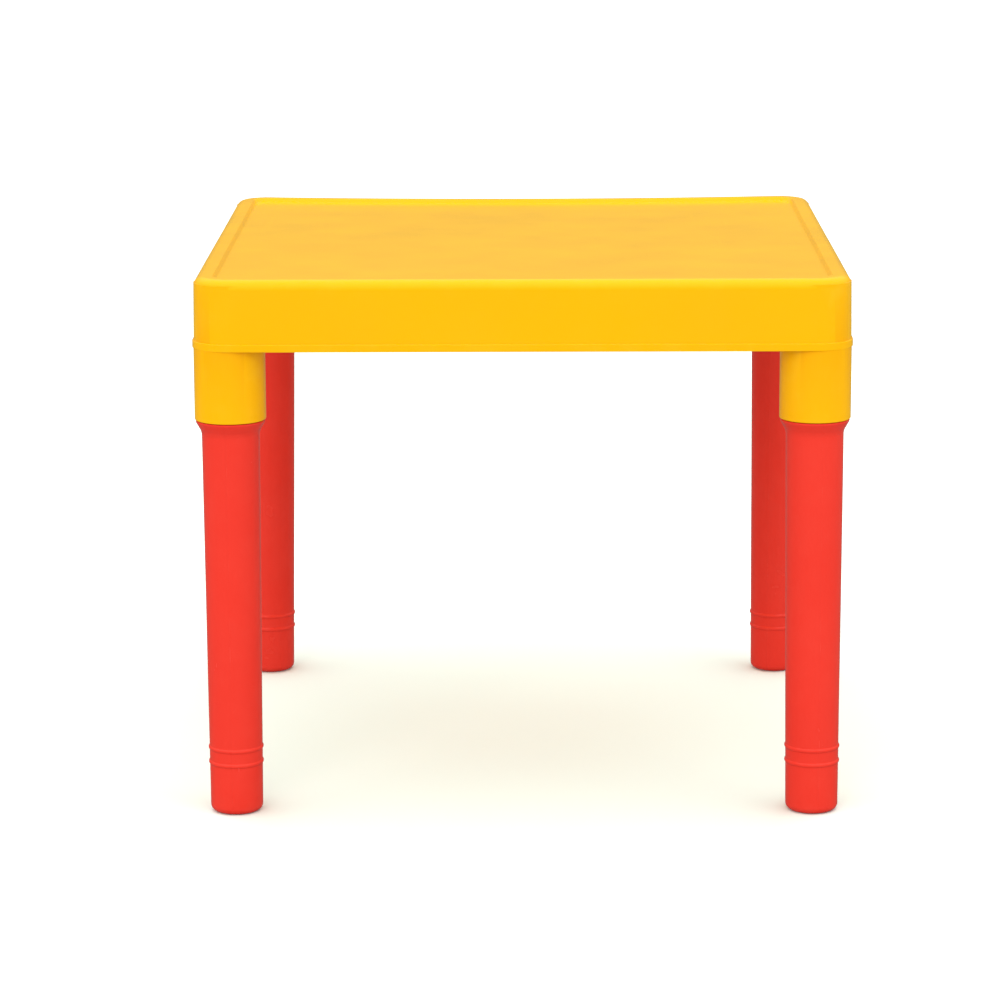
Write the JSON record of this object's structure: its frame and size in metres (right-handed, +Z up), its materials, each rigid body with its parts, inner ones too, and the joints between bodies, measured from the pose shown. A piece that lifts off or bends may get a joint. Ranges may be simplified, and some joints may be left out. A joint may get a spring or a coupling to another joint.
{
  "type": "kids table",
  "caption": "Low square moulded plastic table for children, with a rimmed top, a deep apron and round plug-in legs in its corner sockets.",
  "frame": {"origin": "on the floor, below the middle of the top", "axes": "+Z up, -Y towards the front, +X to the right seen from the front"},
  "size_m": [0.52, 0.52, 0.435],
  "materials": {
    "yellow_plastic": "injection-moulded polypropylene, warm yellow, semi-gloss",
    "red_plastic": "moulded polypropylene, bright red, semi-gloss"
  },
  "bodies": {
    "top": {"table_top": "yellow_plastic"},
    "front_left_leg": {"leg_front_left": "red_plastic"},
    "front_right_leg": {"leg_front_right": "red_plastic"},
    "back_left_leg": {"leg_back_left": "red_plastic"},
    "back_right_leg": {"leg_back_right": "red_plastic"}
  },
  "joints": [
    {"name": "front_left_leg_pull_out", "type": "slide", "parent": "top", "child": "front_left_leg", "axis": [0, 0, -1], "range_m": [0, 0.06]},
    {"name": "front_right_leg_pull_out", "type": "slide", "parent": "top", "child": "front_right_leg", "axis": [0, 0, -1], "range_m": [0, 0.06]},
    {"name": "back_left_leg_pull_out", "type": "slide", "parent": "top", "child": "back_left_leg", "axis": [0, 0, -1], "range_m": [0, 0.06]},
    {"name": "back_right_leg_pull_out", "type": "slide", "parent": "top", "child": "back_right_leg", "axis": [0, 0, -1], "range_m": [0, 0.06]}
  ]
}
